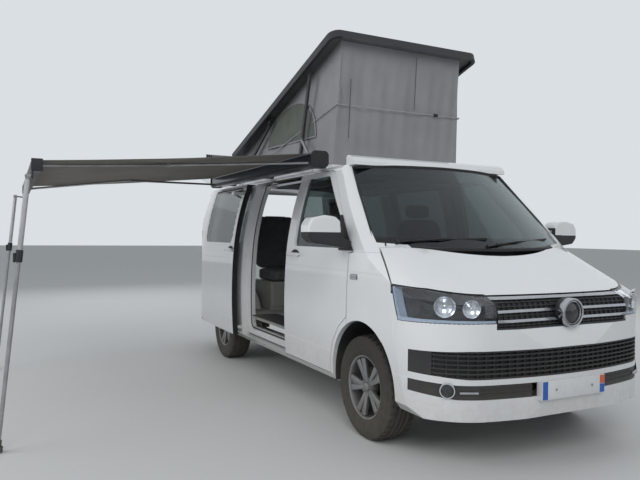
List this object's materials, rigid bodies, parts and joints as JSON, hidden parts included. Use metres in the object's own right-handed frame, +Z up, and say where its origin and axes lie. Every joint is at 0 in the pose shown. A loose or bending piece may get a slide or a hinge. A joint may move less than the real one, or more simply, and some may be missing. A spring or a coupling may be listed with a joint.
{
  "type": "camper van",
  "caption": "Panel-built camper van with a lift-up fabric-sided roof, side awning on two legs, open sliding side door and raised tailgate.",
  "frame": {"origin": "centre of the whole object's bounding box, at the ground under the tyres", "axes": "+Y from the nose towards the tail, +X towards the van's left side, +Z up"},
  "size_m": [4.4166, 6.0236, 2.9999],
  "materials": {
    "alloy": "satin silver",
    "awning_cloth": "coated cloth",
    "body_paint": "gloss white paint",
    "cabin_trim": "light grey",
    "clear_glass": "tinted glass",
    "dark_metal": "satin black",
    "dark_plastic": "grained black",
    "lamp_glass": "clear lens",
    "red_lamp": "red lens",
    "seat_fabric": "woven",
    "steel": "dark steel",
    "tent_fabric": "coated cotton",
    "tyre_rubber": "dusty rubber"
  },
  "bodies": {
    "van_body": {"floor_pan": "cabin_trim", "side_wall_left": "body_paint", "side_wall_right": "body_paint", "roof_frame": "body_paint", "windscreen": "clear_glass", "side_windows": "clear_glass", "cowl_panel": "dark_plastic", "front_wings": "body_paint", "front_bumper": "body_paint", "headlamps": "lamp_glass", "radiator_grille": "dark_plastic", "rear_bumper": "body_paint", "tail_lamps": "red_lamp", "sliding_door": "body_paint", "sliding_door_glass": "clear_glass", "dashboard": "dark_plastic", "steering_wheel": "dark_plastic", "front_seats": "seat_fabric", "rear_bench": "cabin_trim", "kitchen_unit": "cabin_trim", "chassis_frame": "steel", "engine_block": "steel", "exhaust_system": "steel", "door_seals": "dark_plastic", "roof_bellows": "tent_fabric", "awning_case": "dark_metal", "awning_fabric": "awning_cloth", "awning_lead_rail": "dark_metal", "awning_arms": "alloy"},
    "bonnet_lid": {"bonnet": "body_paint"},
    "door_left": {"front_door_left": "body_paint", "door_glass_left": "clear_glass", "door_mirror_left": "body_paint"},
    "door_right": {"front_door_right": "body_paint", "door_glass_right": "clear_glass", "door_mirror_right": "body_paint"},
    "tailgate_lid": {"tailgate": "body_paint", "tailgate_glass": "clear_glass", "bike_carrier": "alloy"},
    "rear_links": {"roof_rear_links": "dark_metal"},
    "roof_top": {"pop_up_roof": "dark_metal"},
    "lift_arms": {"roof_lift_arms": "dark_metal"},
    "stays": {"roof_stays": "alloy"},
    "leg_front": {"awning_leg_front": "alloy"},
    "leg_rear": {"awning_leg_rear": "alloy"},
    "steer_hub_left": {"knuckle_left": "steel"},
    "steer_hub_right": {"knuckle_right": "steel"},
    "wheel_front_left": {"rim_front_left": "alloy", "tyre_front_left": "tyre_rubber"},
    "wheel_front_right": {"rim_front_right": "alloy", "tyre_front_right": "tyre_rubber"},
    "wheel_rear_left": {"rim_rear_left": "alloy", "tyre_rear_left": "tyre_rubber"},
    "wheel_rear_right": {"rim_rear_right": "alloy", "tyre_rear_right": "tyre_rubber"}
  },
  "joints": [
    {"name": "steer_left", "type": "hinge", "parent": "van_body", "child": "steer_hub_left", "pos_m": [1.7183, -2.08675, 0.343], "axis": [0, 0, 1], "range_deg": [-33, 33]},
    {"name": "steer_right", "type": "hinge", "parent": "van_body", "child": "steer_hub_right", "pos_m": [0.1903, -2.08675, 0.343], "axis": [0, 0, 1], "range_deg": [-33, 33]},
    {"name": "spin_front_left", "type": "hinge", "parent": "steer_hub_left", "child": "wheel_front_left", "pos_m": [1.7683, -2.08675, 0.343], "axis": [1, 0, 0], "continuous": true},
    {"name": "spin_front_right", "type": "hinge", "parent": "steer_hub_right", "child": "wheel_front_right", "pos_m": [0.1403, -2.08675, 0.343], "axis": [1, 0, 0], "continuous": true},
    {"name": "spin_rear_left", "type": "hinge", "parent": "van_body", "child": "wheel_rear_left", "pos_m": [1.7683, 0.91325, 0.343], "axis": [1, 0, 0], "continuous": true},
    {"name": "spin_rear_right", "type": "hinge", "parent": "van_body", "child": "wheel_rear_right", "pos_m": [0.1403, 0.91325, 0.343], "axis": [1, 0, 0], "continuous": true},
    {"name": "bonnet_hinge", "type": "hinge", "parent": "van_body", "child": "bonnet_lid", "pos_m": [0.9543, -2.14875, 1.278], "axis": [-1, 0, 0], "range_deg": [0, 58]},
    {"name": "door_left_hinge", "type": "hinge", "parent": "van_body", "child": "door_left", "pos_m": [1.8943, -1.96675, 0.9], "axis": [0, 0, -1], "range_deg": [0, 65]},
    {"name": "door_right_hinge", "type": "hinge", "parent": "van_body", "child": "door_right", "pos_m": [0.0143, -1.96675, 0.9], "axis": [0, 0, 1], "range_deg": [0, 65]},
    {"name": "tailgate_hinge", "type": "hinge", "parent": "van_body", "child": "tailgate_lid", "pos_m": [0.9543, 1.76225, 1.918], "axis": [1, 0, 0], "range_deg": [-98.8, 0]},
    {"name": "roof_lift", "type": "hinge", "parent": "van_body", "child": "rear_links", "pos_m": [0.9543, 1.1351, 1.935], "axis": [1, 0, 0], "range_deg": [0, 30], "deforming": ["roof_bellows"]},
    {"name": "roof_tilt", "type": "hinge", "parent": "rear_links", "child": "roof_top", "pos_m": [0.9543, 0.1888, 2.48135], "axis": [1, 0, 0], "range_deg": [-13.43, 0]},
    {"name": "lift_arm_fold", "type": "hinge", "parent": "van_body", "child": "lift_arms", "pos_m": [0.9543, -0.53675, 1.935], "axis": [1, 0, 0], "range_deg": [0, 75.2]},
    {"name": "stay_fold", "type": "hinge", "parent": "van_body", "child": "stays", "pos_m": [0.9543, -0.92075, 1.935], "axis": [1, 0, 0], "range_deg": [-44.2, 0]},
    {"name": "leg_front_fold", "type": "hinge", "parent": "van_body", "child": "leg_front", "pos_m": [-1.9757, -1.38075, 1.7], "axis": [0.9956, 0, -0.0938], "range_deg": [0, 85]},
    {"name": "leg_rear_fold", "type": "hinge", "parent": "van_body", "child": "leg_rear", "pos_m": [-2.0207, 1.18725, 1.7], "axis": [-0.9956, 0, 0.0938], "range_deg": [0, 85]}
  ],
  "couplings": [
    {"joint": "steer_right", "follows": "steer_left", "ratio": 1},
    {"joint": "roof_tilt", "follows": "roof_lift", "ratio": -0.44426},
    {"joint": "lift_arm_fold", "follows": "roof_lift", "ratio": 2.5},
    {"joint": "stay_fold", "follows": "roof_lift", "ratio": -1.4667}
  ]
}
